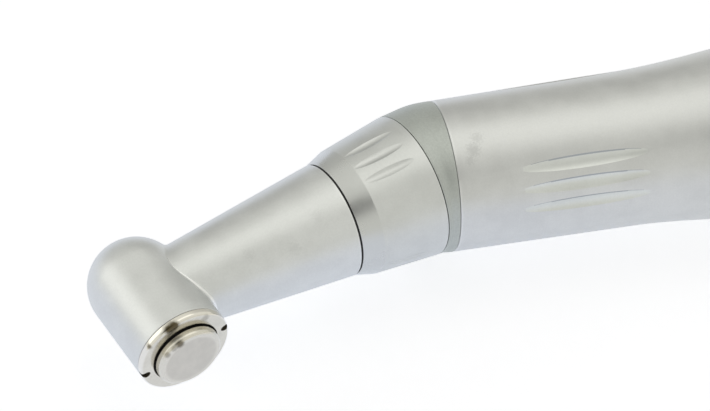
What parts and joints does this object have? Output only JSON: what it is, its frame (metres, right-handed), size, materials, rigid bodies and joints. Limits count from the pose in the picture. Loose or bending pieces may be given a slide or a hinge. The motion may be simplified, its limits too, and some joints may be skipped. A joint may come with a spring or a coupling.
{
  "type": "contra angle handpiece",
  "caption": "Slim bent dental handpiece: straight fluted handle, twist-lock ring, tapered neck and a push-button head that takes a latch-type bur, driven through bevel gears.",
  "frame": {"origin": "centre of the rear mouth, where the motor nose enters", "axes": "+X points back out of the mouth along the handle, the neck bends towards -Y (the button side), the bur leaves towards +Y, and Z is square to the plane of the bend"},
  "size_m": [0.0979, 0.0292, 0.02],
  "materials": {
    "satin_steel": "fine satin, matt blasted",
    "polished_steel": "polished, warm nickel tone",
    "machined_steel": "turned and ground",
    "gear_steel": "hardened and lapped",
    "bearing_steel": "ground",
    "bush_bronze": "turned",
    "spring_steel": "drawn",
    "seal_black": "smooth"
  },
  "bodies": {
    "housing": {"handle_sleeve": "satin_steel", "coupling_socket": "machined_steel", "shaft_tube": "machined_steel", "drive_rear_bush": "bush_bronze", "drive_front_bush": "bush_bronze", "elbow_body": "satin_steel", "ring_stop_pin": "machined_steel", "head_housing": "satin_steel", "neck_nut": "machined_steel", "neck_rear_bush": "bush_bronze", "neck_spacer": "machined_steel", "neck_front_bush": "bush_bronze", "neck_seal": "seal_black", "head_cap": "polished_steel", "lower_outer_race": "bearing_steel", "upper_outer_race": "bearing_steel", "nose_seal": "seal_black", "button_spring": "spring_steel"},
    "lock_ring": {"lock_ring": "satin_steel"},
    "drive_shaft": {"drive_shaft": "machined_steel", "drive_gear": "gear_steel", "dog_pin": "machined_steel", "dog_spring": "spring_steel"},
    "drive_dog": {"drive_dog": "machined_steel"},
    "neck_shaft": {"neck_shaft": "machined_steel", "neck_rear_gear": "gear_steel", "neck_pinion": "gear_steel"},
    "chuck": {"chuck_spindle": "machined_steel", "chuck_gear": "gear_steel", "lower_inner_race": "bearing_steel", "upper_inner_race": "bearing_steel"},
    "latch": {"latch_slide": "machined_steel"},
    "button": {"push_button": "polished_steel"}
  },
  "joints": [
    {"name": "drive_spin", "type": "hinge", "parent": "housing", "child": "drive_shaft", "pos_m": [0, 0, 0], "axis": [-1, 0, 0], "continuous": true},
    {"name": "neck_spin", "type": "hinge", "parent": "housing", "child": "neck_shaft", "pos_m": [-0.06174, 0, 0], "axis": [-0.9483, -0.3173, 0], "continuous": true},
    {"name": "chuck_spin", "type": "hinge", "parent": "housing", "child": "chuck", "pos_m": [-0.09237, -0.01025, 0], "axis": [0.3173, -0.9483, 0], "continuous": true},
    {"name": "dog_slide", "type": "slide", "parent": "drive_shaft", "child": "drive_dog", "axis": [-1, 0, 0], "range_m": [0, 0.0025], "stiffness_N_per_m": 400, "springref_m": -0.002, "deforming": ["dog_spring"]},
    {"name": "button_press", "type": "slide", "parent": "housing", "child": "button", "axis": [-0.3173, 0.9483, 0], "range_m": [0, 0.0008], "stiffness_N_per_m": 4000, "springref_m": -0.001, "deforming": ["button_spring"]},
    {"name": "latch_release", "type": "slide", "parent": "chuck", "child": "latch", "axis": [-0.9483, -0.3173, 0], "range_m": [0, 0.0004]},
    {"name": "lock_ring_turn", "type": "hinge", "parent": "housing", "child": "lock_ring", "pos_m": [-0.06174, 0, 0], "axis": [-0.9483, -0.3173, 0], "range_deg": [0, 60]}
  ],
  "couplings": [
    {"joint": "neck_spin", "follows": "drive_spin", "ratio": 1},
    {"joint": "chuck_spin", "follows": "drive_spin", "ratio": 1},
    {"joint": "latch_release", "follows": "button_press", "ratio": 0.5}
  ]
}
